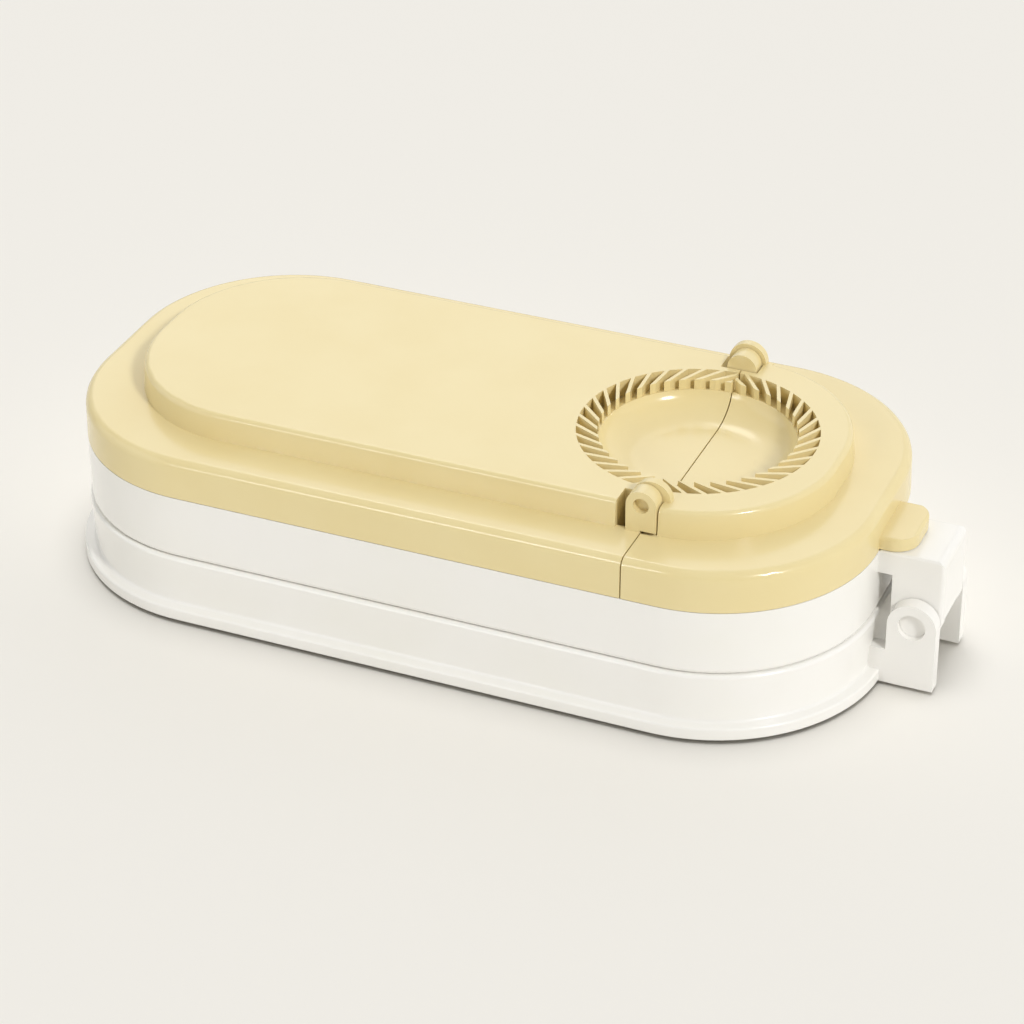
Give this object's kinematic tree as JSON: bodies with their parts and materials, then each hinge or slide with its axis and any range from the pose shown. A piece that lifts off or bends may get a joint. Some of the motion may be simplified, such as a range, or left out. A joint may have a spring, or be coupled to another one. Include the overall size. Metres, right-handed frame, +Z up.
{
  "type": "empanada press",
  "caption": "Oval hinged box that presses dough flat between two discs, with a folding half cover over a round pleated mould that crimps filled pockets.",
  "frame": {"origin": "middle of the whole length and width, on the table under the foot pads", "axes": "+X along the length towards the main hinge, +Y to the back, +Z up"},
  "size_m": [0.3282, 0.1578, 0.0833],
  "materials": {
    "cover": "satin moulded, pale yellow",
    "body": "satin moulded, warm white",
    "disc": "smooth, polished press face",
    "pin": "smooth turned plastic",
    "screw": "plain",
    "pad": "soft grey"
  },
  "bodies": {
    "base": {"base_tray": "body", "bottom_plate": "body", "bottom_screws": "screw", "foot_pads": "pad", "lower_press_disc": "disc", "lower_disc_screws": "screw"},
    "lid": {"main_hinge_pin": "pin", "upper_shell": "body", "upper_press_disc": "disc", "upper_disc_screws": "screw", "fixed_cover": "cover", "cover_screws": "screw", "fold_pin_back": "cover"},
    "half_cover": {"flip_cover": "cover", "fold_pin_front": "cover"}
  },
  "joints": [
    {"name": "main_hinge", "type": "hinge", "parent": "base", "child": "lid", "pos_m": [0.1551, 0, 0.026], "axis": [0, 1, 0], "range_deg": [0, 100]},
    {"name": "fold_hinge", "type": "hinge", "parent": "lid", "child": "half_cover", "pos_m": [0.0688, 0, 0.0763], "axis": [0, -1, 0], "range_deg": [0, 180]}
  ]
}
